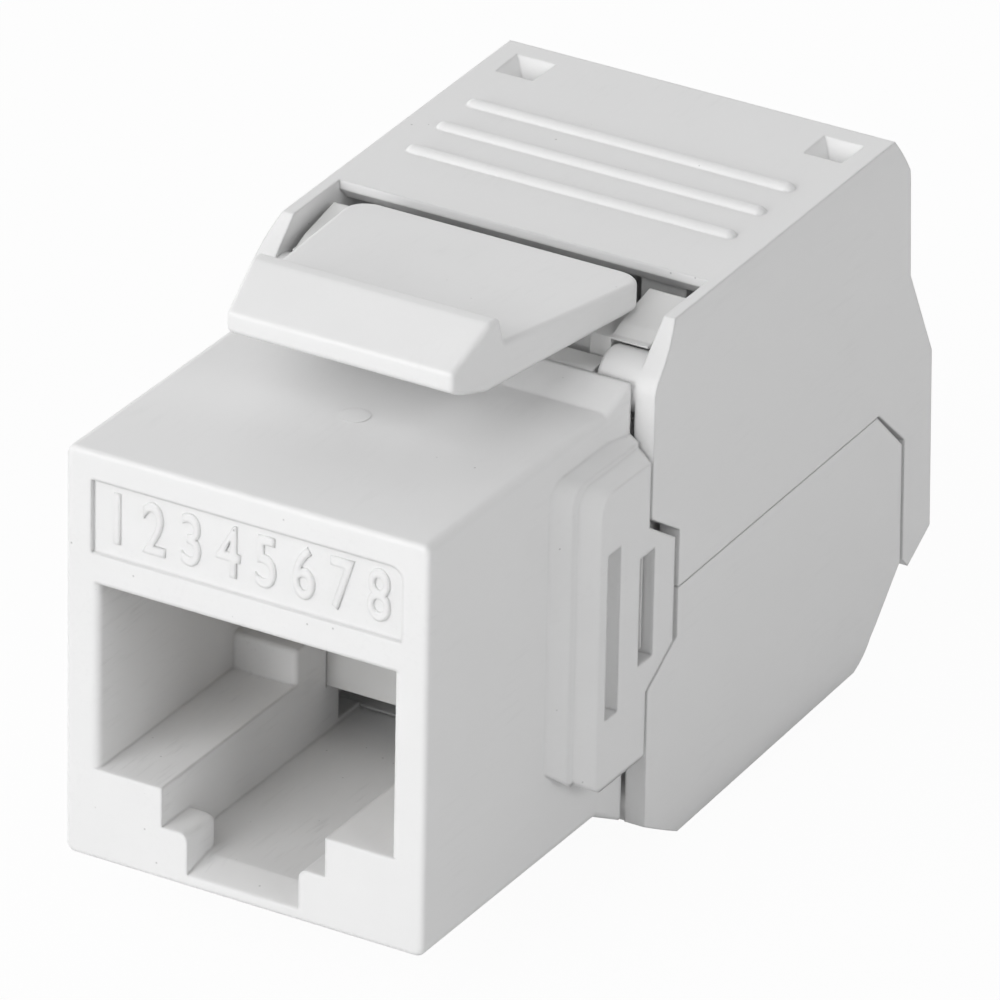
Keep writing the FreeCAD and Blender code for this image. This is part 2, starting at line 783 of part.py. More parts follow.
def cable_hole(radius, y0, y1):
    return Part.makeCylinder(radius, y1 - y0, V(0, y0, cable_level), V(0, 1, 0))


def skirt_slot():
    """Way for the cable through the skirt, open towards the lower edge."""
    y0, y1 = cover_front + rear_shoulder[0], cover_front + rear_skirt_bottom[0] + past
    below = box(-cable_mouth_radius, cable_mouth_radius, y0, y1, -far, cable_level)
    return joined(cable_hole(cable_mouth_radius, y0, y1), below)


def grip_ribs():
    """Rounded ribs across the top."""
    shapes = []
    half = cover_side - rib_margin
    for number in range(rib_count):
        y = cover_front + rib_start + number * rib_pitch
        z = top_at(y) + rib_height - rib_radius
        ends = [Part.makeSphere(rib_radius, V(x, y, z)) for x in (-half, half)]
        shapes.append(joined(rod(y, z, rib_radius, -half, half), *ends))
    return shapes


def dimples():
    """Square tapering pockets near the rear corners of the top."""
    shapes = []
    y = cover_front + dimple_back
    slope = (dimple_size - dimple_foot) / 2 / dimple_depth
    for x in (dimple_margin_side - cover_side, cover_side - dimple_margin_side):
        wires = []
        for rise in (root, -dimple_depth):
            half = dimple_size / 2 + rise * slope
            low, high = -half, half
            corners = [V(x + dx, y + dy, top_at(y) + rise)
                       for dx, dy in ((low, low), (high, low), (high, high), (low, high), (low, low))]
            wires.append(Part.makePolygon(corners))
        shapes.append(Part.makeLoft(wires, True, True))
    return shapes


def upper_cover():
    arms = rod(hinge_y, hinge_level, pin_radius, -cover_side, cover_side)
    shell = joined(side_prism(upper_outline(), -cover_side, cover_side), arms)
    shell = cover_body(shell, top_rise, shoulder_section(top_at(cover_front), 1))
    start, shoulder = cover_front - past, from_top(rear_shoulder)
    rear_inner = shoulder[0] - cover_wall
    hollow = side_prism([
        (start, -far), (start, top_at(start) - roof_wall),
        (rear_inner - cover_wall, top_at(rear_inner) - roof_wall), (rear_inner, shoulder[1] - cover_wall),
        (rear_inner, -far)], -cover_inner, cover_inner)
    roof_start = cover_front + roof_front
    window = box(-cover_inner, cover_inner, start, roof_start, mid_height, far)
    lip_level, slant = top_at(roof_start) - roof_lip, roof_wall - roof_lip
    undercut = side_prism([(start, lip_level), (roof_start, lip_level),
                           (roof_start + slant, lip_level - slant), (start, lip_level - slant)],
                          -cover_inner, cover_inner)
    notch = side_prism(tongue_outline(notch_gap, notch_gap_lower), -far, far)
    hole = cable_hole(cable_radius, rear_inner - past, shoulder[0] + past)
    shell = shell.cut([hollow, window, undercut, notch, hole, skirt_slot()])
    shell = joined(shell, *hinge_pins(), *pressers(top_at(roof_start) - roof_wall / 2), *grip_ribs())
    return shell.cut(dimples()).removeSplitter()


def lower_cover():
    shell = side_prism(lower_outline(), -cover_side, cover_side)
    shell = cover_body(shell, bottom_rise, shoulder_section(bottom_at(cover_front), -1))
    start, chamfer = cover_front - past, cover_front + lower_chamfer_end
    foot, knee = from_underside(slit_foot), from_underside(lower_knee)
    rear_inner = cover_front + slit_bend[0] - slit_gap - cover_wall
    slope = (foot[1] - knee[1]) / (foot[0] - slit_gap - knee[0])
    slant_level = knee[1] + cover_wall * math.hypot(1, slope)
    turn = knee[0] - (slant_level - bottom_at(knee[0]) - roof_wall) / (slope - bottom_rise)
    hollow = side_prism([
        (start, far), (start, bottom_at(chamfer) + roof_wall), (chamfer, bottom_at(chamfer) + roof_wall),
        (turn, bottom_at(turn) + roof_wall), (rear_inner, slant_level + slope * (rear_inner - knee[0])),
        (rear_inner, far)], -cover_inner, cover_inner)
    mouth = box(-cover_inner, cover_inner, start, chamfer - past, -far, far)
    notch = side_prism(tongue_outline(notch_gap, notch_gap_lower), -far, far)
    hole = cable_hole(cable_radius, rear_inner - past, cover_front + slit_foot[0])
    shell = shell.cut([hollow, mouth, notch, hole])
    floor = bottom_at(terminal_y) + roof_wall / 2
    teeth = [upside_down(tooth) for tooth in pressers(2 * mid_height - floor)]
    pins = [upside_down(pin) for pin in hinge_pins()]
    return joined(shell, *pins, *teeth)


# ---------------------------------------------------------------- all pieces
def all_pieces():
    pieces = {
        "front_housing": front_housing(),
        "release_latch": release_latch(),
        "contact_carrier": contact_carrier(),
        "circuit_board": circuit_board(),
        "terminal_block": terminal_block(),
        "upper_cover": upper_cover(),
        "lower_cover": lower_cover(),
    }
    for number in range(contact_count):
        pieces[f"contact_{number + 1}"] = contact(number)
    for number in range(terminals_per_side):
        terminal = upper_terminal(number)
        pieces[f"idc_terminal_{number + 1}"] = terminal
        pieces[f"idc_terminal_{number + 1 + terminals_per_side}"] = upside_down(terminal)
    return pieces


def main():
    pieces = all_pieces()
    bounds = Part.makeCompound(list(pieces.values())).optimalBoundingBox(False, False)
    to_row_frame = V(0, -(bounds.YMin + bounds.YMax) / 2, -bounds.ZMin)
    os.makedirs("parts", exist_ok=True)
    for name, shape in pieces.items():
        placed = shape.translated(to_row_frame)
        placed.exportStep(f"parts/{name}.step")
        print(f"{name:18s} {len(placed.Solids)} solid(s) {placed.Volume:9.3f} mm3 valid {placed.isValid()}")
    print(f"moved by {to_row_frame.x:.4f} {to_row_frame.y:.4f} {to_row_frame.z:.4f}")
    print(f"size {bounds.XLength:.3f} {bounds.YLength:.3f} {bounds.ZLength:.3f}")


main()
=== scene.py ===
"""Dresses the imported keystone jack: moulded plastic, plated metal, circuit board, raised numerals,
and the small studio with its camera.

Everything is in metres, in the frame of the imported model: +X right seen from the plug side, +Y towards
the cable, +Z up.  Each CAD piece keeps its mesh and gets a finish, whose shader rounds the look of
its edges.
"""

import logging
import math
from dataclasses import dataclass
from enum import Enum

import bpy
from bpy.types import Material, Node, NodeSocket, NodeTree, Object
from mathutils import Matrix, Vector


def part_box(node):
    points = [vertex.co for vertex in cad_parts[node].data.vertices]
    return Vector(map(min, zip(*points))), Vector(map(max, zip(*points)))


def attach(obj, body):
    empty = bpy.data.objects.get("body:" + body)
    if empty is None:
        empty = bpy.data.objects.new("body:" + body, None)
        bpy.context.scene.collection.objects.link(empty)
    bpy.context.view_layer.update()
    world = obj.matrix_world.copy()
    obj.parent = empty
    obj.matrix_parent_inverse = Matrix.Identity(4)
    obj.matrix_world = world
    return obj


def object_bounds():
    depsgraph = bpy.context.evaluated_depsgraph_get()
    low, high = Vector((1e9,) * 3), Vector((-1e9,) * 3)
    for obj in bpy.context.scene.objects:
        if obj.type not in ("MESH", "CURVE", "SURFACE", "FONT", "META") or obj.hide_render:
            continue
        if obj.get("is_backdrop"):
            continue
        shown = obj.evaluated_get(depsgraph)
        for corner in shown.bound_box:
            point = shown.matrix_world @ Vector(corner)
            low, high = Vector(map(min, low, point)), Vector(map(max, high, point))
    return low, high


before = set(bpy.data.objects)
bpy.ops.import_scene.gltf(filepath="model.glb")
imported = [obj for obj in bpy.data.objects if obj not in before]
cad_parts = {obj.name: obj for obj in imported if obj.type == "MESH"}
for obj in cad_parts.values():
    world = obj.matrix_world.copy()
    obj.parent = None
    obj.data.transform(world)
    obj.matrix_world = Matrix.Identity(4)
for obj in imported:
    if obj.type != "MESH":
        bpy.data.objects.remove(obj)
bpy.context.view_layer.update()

MM = 0.001
LUG_DROP = 1.3 * MM          # how far the fixed lug reaches below the housing's underside
PORT_WIDTH, PORT_HEIGHT, PORT_DEPTH = 11.8 * MM, 10.4 * MM, 11.0 * MM
PORT_LEVEL = 5.7 * MM        # its middle above the housing's underside
PORT_LIP = 0.3 * MM          # how far wear reaches into its walls, and where it begins
COLOUR_INPUTS, FLOAT_INPUTS = (6, 7), (2, 3)      # of a Mix node
MIDDLE_TONES = (0.3, 0.7)    # where most of a noise lies
EDGE_SAMPLES = 4             # for the look of rounded edges
WHITE = (1.0, 1.0, 1.0)
LOG = logging.getLogger("keystone_jack")


def housing_foot() -> Vector:
    """Returns the middle of the housing's lower front edge."""
    low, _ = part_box("front_housing")
    return Vector((0.0, low.y, low.z + LUG_DROP))


# ---------------------------------------------------------------- node helpers
@dataclass(frozen=True)
class Socket:
    """One named input or output of a shader node group."""

    name: str
    kind: str
    default: object = None


class Graph:
    """Adds and links nodes in one node tree."""

    def __init__(self, tree: NodeTree) -> None:
        """Keeps the tree.

        Args:
            tree: the shader node tree or node group to add to.
        """
        self.tree = tree

    def add(self, kind: str, **settings: object) -> Node:
        """Adds a node.

        Args:
            kind: node type name.
            settings: attributes to set on the node.

        Returns:
            The new node.
        """
        node = self.tree.nodes.new(kind)
        for name, value in settings.items():
            setattr(node, name, value)
        return node

    def link(self, source: NodeSocket, target: NodeSocket) -> None:
        """Links an output to an input."""
        self.tree.links.new(source, target)

    def feed(self, value: object, target: NodeSocket) -> None:
        """Sets a constant, or links an output socket.

        Args:
            value: a number, a colour or an output socket.
            target: the input that takes it.
        """
        if isinstance(value, NodeSocket):
            self.link(value, target)
        else:
            target.default_value = value

    def math(self, operation: str, first: object, second: object = 0.0,
             clamp: bool = False) -> NodeSocket:
        """Adds a Math node.

        Args:
            operation: MULTIPLY, ADD and so on.
            first: number or socket.
            second: number or socket.
            clamp: keeps the result between 0 and 1.

        Returns:
            The result socket.
        """
        node = self.add("ShaderNodeMath", operation=operation, use_clamp=clamp)
        self.feed(first, node.inputs[0])
        self.feed(second, node.inputs[1])
        return node.outputs[0]

    def remap(self, value: object, low: float, high: float, to_low: float,
              to_high: float) -> NodeSocket:
        """Maps a value from one range to another, smoothly and clamped.

        Args:
            value: number or socket.
            low: value that gives to_low.
            high: value that gives to_high.
            to_low: result at low.
            to_high: result at high.

        Returns:
            The result socket.
        """
        node = self.add("ShaderNodeMapRange", interpolation_type="SMOOTHSTEP")
        for number, item in enumerate((value, low, high, to_low, to_high)):
            self.feed(item, node.inputs[number])
        return node.outputs[0]

    def mix(self, factor: object, first: object, second: object) -> NodeSocket:
        """Mixes two colours.

        Args:
            factor: number or socket.
            first: colour or socket.
            second: colour or socket.

        Returns:
            The mixed colour socket.
        """
        node = self.add("ShaderNodeMix", data_type="RGBA")
        self.feed(factor, node.inputs[0])
        for number, item in zip(COLOUR_INPUTS, (first, second)):
            self.feed(item, node.inputs[number])
        return node.outputs[2]

    def noise(self, vector: NodeSocket, cells_per_m: object, detail: float = 2.0) -> NodeSocket:
        """Adds a noise texture.

        Args:
            vector: coordinates in metres.
            cells_per_m: scale, number or socket.
            detail: octaves.

        Returns:
            The noise value.
        """
        node = self.add("ShaderNodeTexNoise")
        self.link(vector, node.inputs["Vector"])
        self.feed(cells_per_m, node.inputs["Scale"])
        node.inputs["Detail"].default_value = detail
        return node.outputs["Fac"]


def new_group(name: str, inputs: list[Socket], outputs: list[Socket]) -> tuple[Graph, dict, dict]:
    """Makes an empty shader node group.

    Args:
        name: name of the group.
        inputs: its input sockets.
        outputs: its output sockets.

    Returns:
        The group's graph, its inputs by name, and its output targets by name.
    """
    tree = bpy.data.node_groups.new(name, "ShaderNodeTree")
    for direction, sockets in (("INPUT", inputs), ("OUTPUT", outputs)):
        for socket in sockets:
            made = tree.interface.new_socket(name=socket.name, in_out=direction,
                                             socket_type=socket.kind)
            if socket.default is not None:
                made.default_value = socket.default
    graph = Graph(tree)
    start, end = graph.add("NodeGroupInput"), graph.add("NodeGroupOutput")
    get = {socket.name: start.outputs[socket.name] for socket in inputs}
    put = {socket.name: end.inputs[socket.name] for socket in outputs}
    return graph, get, put


FLOAT, VECTOR = "NodeSocketFloat", "NodeSocketVector"


# ---------------------------------------------------------------- shared effects
class Effects:
    """Shader node groups that several finishes share, each built once."""

    SPECK_RADIUS, SPECK_SPREAD = 0.05, 0.08      # in cells: the least, and how much more at most
    FINE_DETAIL = 3.0                            # octaves of the finest noises
    STREAKS = 5200.0                             # per metre
    STREAK_RANGE, PATCH_RANGE = (0.5, 0.75), (0.42, 0.66)

    @staticmethod
    def specks() -> NodeTree:
        """Sparse dark specks moulded into pale plastic.

        Returns:
            A group with Vector, Cells and Rarity in, and Mask out.
        """
        graph, get, put = new_group(
            "moulding_specks",
            [Socket("Vector", VECTOR), Socket("Cells", FLOAT, 2000.0), Socket("Rarity", FLOAT, 0.9)],
            [Socket("Mask", FLOAT)])
        cells = graph.add("ShaderNodeTexVoronoi")
        graph.link(get["Vector"], cells.inputs["Vector"])
        graph.link(get["Cells"], cells.inputs["Scale"])
        pick = graph.add("ShaderNodeSeparateColor")
        graph.link(cells.outputs["Color"], pick.inputs[0])
        chosen = graph.math("GREATER_THAN", pick.outputs[0], get["Rarity"])
        radius = graph.math("MULTIPLY_ADD", pick.outputs[1], Effects.SPECK_SPREAD)
        radius.node.inputs[2].default_value = Effects.SPECK_RADIUS
        share = graph.math("DIVIDE", cells.outputs["Distance"], radius)
        spot = graph.math("SUBTRACT", 1.0, share, clamp=True)
        graph.link(graph.math("MULTIPLY", chosen, spot, clamp=True), put["Mask"])
        return graph.tree

    @staticmethod
    def grain() -> NodeTree:
        """Fine spark-eroded grain with slow waviness from the mould.

        Returns:
            A group with Vector, Fine, Slow and Slow Share in, and Height and Tone out.
        """
        graph, get, put = new_group(
            "mould_grain",
            [Socket("Vector", VECTOR), Socket("Fine", FLOAT, 14000.0), Socket("Slow", FLOAT, 500.0),
             Socket("Slow Share", FLOAT, 0.5)],
            [Socket("Height", FLOAT), Socket("Tone", FLOAT)])
        fine = graph.noise(get["Vector"], get["Fine"], Effects.FINE_DETAIL)
        slow = graph.noise(get["Vector"], get["Slow"], 1.0)
        height = graph.add("ShaderNodeMix", data_type="FLOAT")
        graph.link(get["Slow Share"], height.inputs[0])
        for number, item in zip(FLOAT_INPUTS, (fine, slow)):
            graph.link(item, height.inputs[number])
        graph.link(height.outputs[0], put["Height"])
        graph.link(slow, put["Tone"])
        return graph.tree

    @staticmethod
    def scuffs() -> NodeTree:
        """Faint rubbed streaks along one direction, in patches.

        Returns:
            A group with Vector, Stretch and Patches in, and Mask out.
        """
        graph, get, put = new_group(
            "rubbed_scuffs",
            [Socket("Vector", VECTOR), Socket("Stretch", VECTOR), Socket("Patches", FLOAT, 260.0)],
            [Socket("Mask", FLOAT)])
        stretch = graph.add("ShaderNodeVectorMath", operation="MULTIPLY")
        graph.link(get["Vector"], stretch.inputs[0])
        graph.link(get["Stretch"], stretch.inputs[1])
        fine = graph.noise(stretch.outputs[0], Effects.STREAKS, Effects.FINE_DETAIL)
        streaks = graph.remap(fine, *Effects.STREAK_RANGE, 0.0, 1.0)
        coarse = graph.noise(get["Vector"], get["Patches"])
        patches = graph.remap(coarse, *Effects.PATCH_RANGE, 0.0, 1.0)
        graph.link(graph.math("MULTIPLY", streaks, patches, clamp=True), put["Mask"])
        return graph.tree

    @staticmethod
    def region() -> NodeTree:
        """Inside of a box with soft sides.

        Returns:
            A group with Vector, Middle, Half and Softness in, and Mask out.
        """
        graph, get, put = new_group(
            "soft_region",
            [Socket("Vector", VECTOR), Socket("Middle", VECTOR), Socket("Half", VECTOR),
             Socket("Softness", FLOAT, 0.0004)],
            [Socket("Mask", FLOAT)])
        offset = graph.add("ShaderNodeVectorMath", operation="SUBTRACT")
        graph.link(get["Vector"], offset.inputs[0])
        graph.link(get["Middle"], offset.inputs[1])
        reach = graph.add("ShaderNodeVectorMath", operation="ABSOLUTE")
        graph.link(offset.outputs[0], reach.inputs[0])
        spare = graph.add("ShaderNodeVectorMath", operation="SUBTRACT")
        graph.link(get["Half"], spare.inputs[0])
        graph.link(reach.outputs[0], spare.inputs[1])
        axes = graph.add("ShaderNodeSeparateXYZ")
        graph.link(spare.outputs[0], axes.inputs[0])
        least = graph.math("MINIMUM", axes.outputs[1], axes.outputs[2])
        least = graph.math("MINIMUM", axes.outputs[0], least)
        graph.link(graph.math("DIVIDE", least, get["Softness"], clamp=True), put["Mask"])
        return graph.tree

    @staticmethod
    def hairlines() -> NodeTree:
        """Fine lines drawn along one direction, from stamping and plating.

        Returns:
            A group with Vector, Stretch and Lines in, and Height out.
        """
        graph, get, put = new_group(
            "drawn_hairlines",
            [Socket("Vector", VECTOR), Socket("Stretch", VECTOR), Socket("Lines", FLOAT, 12000.0)],
            [Socket("Height", FLOAT)])
        stretch = graph.add("ShaderNodeVectorMath", operation="MULTIPLY")
        graph.link(get["Vector"], stretch.inputs[0])
        graph.link(get["Stretch"], stretch.inputs[1])
        lines = graph.noise(stretch.outputs[0], get["Lines"], Effects.FINE_DETAIL)
        graph.link(lines, put["Height"])
        return graph.tree


class EffectKind(Enum):
    """Names of the shared effects."""

    SPECKS = "specks"
    GRAIN = "grain"
    SCUFFS = "scuffs"
    REGION = "region"
    HAIRLINES = "hairlines"


class EffectLibrary:
    """Hands out the shared node groups."""

    def __init__(self) -> None:
        """Builds every effect once."""
        self.trees = {kind: getattr(Effects, kind.value)() for kind in EffectKind}

    def place(self, graph: Graph, kind: EffectKind, **values: object) -> dict[str, NodeSocket]:
        """Places an effect in a material.

        Args:
            graph: the material's graph.
            kind: which effect.
            values: input values or sockets, with underscores for spaces.

        Returns:
            The group's outputs by name.
        """
        node = graph.add("ShaderNodeGroup")
        node.node_tree = self.trees[kind]
        for name, value in values.items():
            graph.feed(value, node.inputs[name.replace("_", " ")])
        return {socket.name: socket for socket in node.outputs}


# ---------------------------------------------------------------- finishes
class FinishKind(Enum):
    """Names of the finishes."""

    HOUSING = "housing_plastic"
    LATCH = "latch_plastic"
    COVER = "cover_plastic"
    BLOCK = "block_plastic"
    CARRIER = "carrier_plastic"
    SPRING = "gold_spring"
    FORK = "tin_fork"
    BOARD = "board_mask"


def empty_material(name: str) -> tuple[Material, Graph]:
    """Makes a material without nodes.

    Args:
        name: the material's name.

    Returns:
        The material and its graph.
    """
    material = bpy.data.materials.new(name)
    material.use_nodes = True
    material.node_tree.nodes.clear()
    return material, Graph(material.node_tree)


def start_material(name: str) -> tuple[Material, Graph, Node, NodeSocket]:
    """Makes a material with its Principled shader.

    Args:
        name: the material's name.

    Returns:
        The material, its graph, its shader, and the object coordinates in metres.
    """
    material, graph = empty_material(name)
    shader = graph.add("ShaderNodeBsdfPrincipled")
    output = graph.add("ShaderNodeOutputMaterial")
    graph.link(shader.outputs[0], output.inputs["Surface"])
    return material, graph, shader, graph.add("ShaderNodeTexCoord").outputs["Object"]


def shaded(colour: tuple[float, float, float], share: float = 1.0) -> tuple[float, float, float, float]:
    """Returns a colour times a share, with full alpha."""
    return tuple(part * share for part in colour) + (1.0,)


def add_relief(graph: Graph, shader: Node, height: NodeSocket, depth: float, edge: float) -> None:
    """Rounds the edges and joins a height to the shader's normal.

    Args:
        graph: the material's graph.
        shader: its Principled shader.
        height: the height, from 0 to 1.
        depth: metres of relief at height 1.
        edge: radius of the rounded edges in metres.
    """
    rounding = graph.add("ShaderNodeBevel", samples=EDGE_SAMPLES)
    rounding.inputs["Radius"].default_value = edge
    bump = graph.add("ShaderNodeBump")
    bump.inputs["Strength"].default_value = 1.0
    bump.inputs["Distance"].default_value = depth
    graph.link(height, bump.inputs["Height"])
    graph.link(rounding.outputs["Normal"], bump.inputs["Normal"])
    graph.link(bump.outputs["Normal"], shader.inputs["Normal"])


@dataclass(frozen=True)
class MouldedPlastic:
    """Pale injection-moulded plastic, satin, with fine grain, rare specks and faint scuffs."""

    kind: FinishKind
    colour: tuple[float, float, float] = (0.82, 0.82, 0.82)
    roughness: float = 0.42
    relief: float = 0.0025 * MM
    rarity: float = 0.94             # share of the cells without a speck
    stretch: tuple[float, float, float] = (1.0, 0.12, 1.0)      # of the scuffs
    wear: float = 0.12
    edge: float = 0.2 * MM
    hollow_middle: tuple[float, float, float] = (0.0, 0.0, 0.0)
    hollow_half: tuple[float, float, float] = (0.0, 0.0, 0.0)
    hollow_specks: float = 0.3       # how much less rare they are in the hollow
    hollow_wear: float = 0.5
    dull_share: float = 0.975        # how much of the colour the dullest patches keep
    soiled_share: float = 0.82       # how much of it the scuffs keep
    speck_share: float = 0.6
    speck_colour: tuple[float, float, float] = (0.15, 0.15, 0.15)
    roughness_swing: float = 0.05
    worn_roughness: float = 0.25
    ior: float = 1.5

    def build(self, effects: EffectLibrary) -> Material:
        """Builds the material.

        Args:
            effects: the shared node groups.

        Returns:
            The material.
        """
        material, graph, shader, coords = start_material(self.kind.value)
        grain = effects.place(graph, EffectKind.GRAIN, Vector=coords)
        hollow = effects.place(graph, EffectKind.REGION, Vector=coords, Middle=self.hollow_middle,
                               Half=self.hollow_half)["Mask"]
        rarity = graph.math("SUBTRACT", self.rarity, graph.math("MULTIPLY", hollow, self.hollow_specks))
        specks = effects.place(graph, EffectKind.SPECKS, Vector=coords, Rarity=rarity)
        scuffs = effects.place(graph, EffectKind.SCUFFS, Vector=coords, Stretch=self.stretch)
        amount = graph.remap(hollow, 0.0, 1.0, self.wear, self.hollow_wear)
        worn = graph.math("MULTIPLY", scuffs["Mask"], amount)
        base = graph.mix(grain["Tone"], shaded(self.colour, self.dull_share), shaded(self.colour))
        base = graph.mix(worn, base, shaded(self.colour, self.soiled_share))
        dots = graph.math("MULTIPLY", specks["Mask"], self.speck_share)
        base = graph.mix(dots, base, shaded(self.speck_colour))
        graph.link(base, shader.inputs["Base Color"])
        least, most = self.roughness - self.roughness_swing, self.roughness + self.roughness_swing
        rough = graph.remap(grain["Tone"], *MIDDLE_TONES, least, most)
        rubbed = graph.math("MULTIPLY", worn, self.worn_roughness)
        graph.link(graph.math("ADD", rough, rubbed), shader.inputs["Roughness"])
        shader.inputs["IOR"].default_value = self.ior
        add_relief(graph, shader, grain["Height"], self.relief, self.edge)
        return material


@dataclass(frozen=True)
class PlatedMetal:
    """Plated sheet or wire with drawn hairlines and slight tarnish."""

    kind: FinishKind
    colour: tuple[float, float, float]
    tarnish: tuple[float, float, float]
    roughness: float
    stretch: tuple[float, float, float] = (1.0, 0.08, 0.08)
    edge: float = 0.05 * MM
    relief: float = 0.0015 * MM
    patches: float = 900.0           # per metre
    patch_range: tuple[float, float] = (0.45, 0.75)
    most_tarnish: float = 0.5
    calm_bounce: float = 0.8         # how grey it is for the light that it throws on its surroundings
    smoother: float = 0.06
    rougher: float = 0.08

    def build(self, effects: EffectLibrary) -> Material:
        """Builds the material.

        Args:
            effects: the shared node groups.

        Returns:
            The material.
        """
        material, graph, shader, coords = start_material(self.kind.value)
        lines = effects.place(graph, EffectKind.HAIRLINES, Vector=coords, Stretch=self.stretch)
        clouds = graph.noise(coords, self.patches, Effects.FINE_DETAIL)
        dulled = graph.remap(clouds, *self.patch_range, 0.0, self.most_tarnish)
        base = graph.mix(dulled, shaded(self.colour), shaded(self.tarnish))
        rays = graph.add("ShaderNodeLightPath")
        mean = sum(self.colour) / len(self.colour)
        bounce = graph.math("MULTIPLY", rays.outputs["Is Diffuse Ray"], self.calm_bounce)
        base = graph.mix(bounce, base, (mean, mean, mean, 1.0))
        graph.link(base, shader.inputs["Base Color"])
        least, most = self.roughness - self.smoother, self.roughness + self.rougher
        rough = graph.remap(lines["Height"], *MIDDLE_TONES, least, most)
        graph.link(rough, shader.inputs["Roughness"])
        shader.inputs["Metallic"].default_value = 1.0
        add_relief(graph, shader, lines["Height"], self.relief, self.edge)
        return material


@dataclass(frozen=True)
class SolderMask:
    """Black solder mask over woven glass fibre."""

    kind: FinishKind = FinishKind.BOARD
    colour: tuple[float, float, float] = (0.012, 0.016, 0.014)
    thread: float = 0.4 * MM
    wave_stretch: float = 6.0        # makes a wave about two threads long
    waviness: float = 0.4
    crossing_share: float = 1.8      # how much brighter the mask is over the threads' crossings
    grain_share: float = 0.3
    tones: tuple[float, float] = (0.2, 0.8)
    roughness: tuple[float, float] = (0.28, 0.4)
    relief: float = 0.004 * MM
    edge: float = 0.05 * MM

    def build(self, effects: EffectLibrary) -> Material:
        """Builds the material.

        Args:
            effects: the shared node groups.

        Returns:
            The material.
        """
        material, graph, shader, coords = start_material(self.kind.value)
        waves = []
        for direction in ("X", "Z"):
            wave = graph.add("ShaderNodeTexWave", bands_direction=direction)
            graph.link(coords, wave.inputs["Vector"])
            wave.inputs["Scale"].default_value = 1.0 / self.thread / self.wave_stretch
            wave.inputs["Distortion"].default_value = self.waviness
            waves.append(wave.outputs["Fac"])
        weave = graph.math("MULTIPLY", waves[0], waves[1])
        grain = effects.place(graph, EffectKind.GRAIN, Vector=coords, Slow_Share=self.grain_share)
        base = graph.mix(weave, shaded(self.colour), shaded(self.colour, self.crossing_share))
        graph.link(base, shader.inputs["Base Color"])
        graph.link(graph.remap(grain["Tone"], *self.tones, *self.roughness), shader.inputs["Roughness"])
        height = graph.math("ADD", weave, graph.math("MULTIPLY", grain["Height"], self.grain_share))
        add_relief(graph, shader, height, self.relief, self.edge)
        return material


class FinishBook:
    """All finishes of the jack, each built once."""

    def __init__(self) -> None:
        """Builds the materials."""
        effects = EffectLibrary()
        foot = housing_foot()
        middle = (foot.x, foot.y + PORT_DEPTH / 2 + PORT_LIP, foot.z + PORT_LEVEL)
        half = tuple(side / 2 + PORT_LIP for side in (PORT_WIDTH, PORT_DEPTH, PORT_HEIGHT))
        finishes = (
            MouldedPlastic(FinishKind.HOUSING, hollow_middle=middle, hollow_half=half),
            MouldedPlastic(FinishKind.LATCH, roughness=0.38),
            MouldedPlastic(FinishKind.COVER, roughness=0.44, edge=0.12 * MM),
            MouldedPlastic(FinishKind.BLOCK, colour=(0.8, 0.8, 0.795), roughness=0.48,
                           edge=0.1 * MM),
            MouldedPlastic(FinishKind.CARRIER, colour=(0.74, 0.74, 0.735), roughness=0.5,
                           edge=0.1 * MM),
            PlatedMetal(FinishKind.SPRING, colour=(0.95, 0.66, 0.24), tarnish=(0.72, 0.45, 0.15),
                        roughness=0.24),
            PlatedMetal(FinishKind.FORK, colour=(0.72, 0.71, 0.69), tarnish=(0.42, 0.4, 0.37),
                        roughness=0.34, stretch=(0.08, 0.08, 1.0)),
            SolderMask(),
        )
        self.materials = {finish.kind: finish.build(effects) for finish in finishes}

    def dress(self, piece: Object, kind: FinishKind) -> None:
        """Puts a finish on a piece, in place of what it has.

        Args:
            piece: the object to dress.
            kind: which finish.
        """
        piece.data.materials.clear()
        piece.data.materials.append(self.materials[kind])
        for slot in piece.material_slots:
            slot.material = self.materials[kind]

    def dress_nodes(self, names: list[str], kind: FinishKind) -> list[str]:
        """Puts a finish on pieces of the CAD model.

        Args:
            names: the names of the pieces.
            kind: which finish.

        Returns:
            The same names.
        """
        for name in names:
            self.dress(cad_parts[name], kind)
        return names


